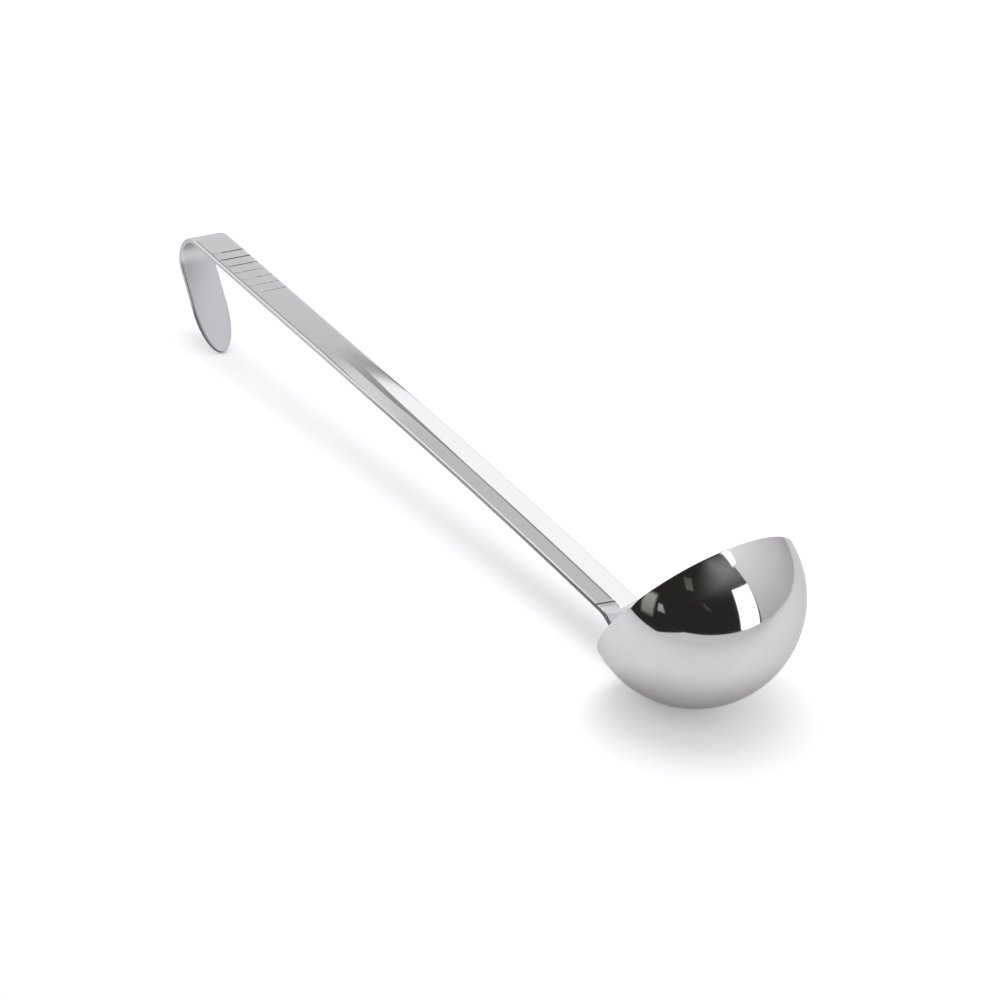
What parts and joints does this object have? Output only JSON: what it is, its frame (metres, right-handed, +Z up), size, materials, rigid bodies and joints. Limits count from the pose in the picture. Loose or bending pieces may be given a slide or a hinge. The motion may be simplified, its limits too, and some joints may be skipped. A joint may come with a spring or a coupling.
{
  "type": "soup ladle",
  "caption": "Stainless soup ladle: half-round bowl welded to a long flat handle with a stiffening gutter, grip grooves and a hanging hook.",
  "frame": {"origin": "on the table, under the middle of the ladle's length, as it lies at rest", "axes": "+X along the ladle from bowl to hook, +Z up from the table, +Y across the handle, so that the XZ plane halves the ladle"},
  "size_m": [0.4292, 0.09, 0.0848],
  "materials": {
    "bowl_steel": "stainless steel, mirror polished",
    "handle_steel": "stainless steel, fine satin",
    "weld_steel": "fused stainless steel"
  },
  "bodies": {
    "root": {"bowl": "bowl_steel", "handle": "handle_steel", "upper_spot_weld": "weld_steel", "lower_spot_weld": "weld_steel"}
  },
  "joints": []
}
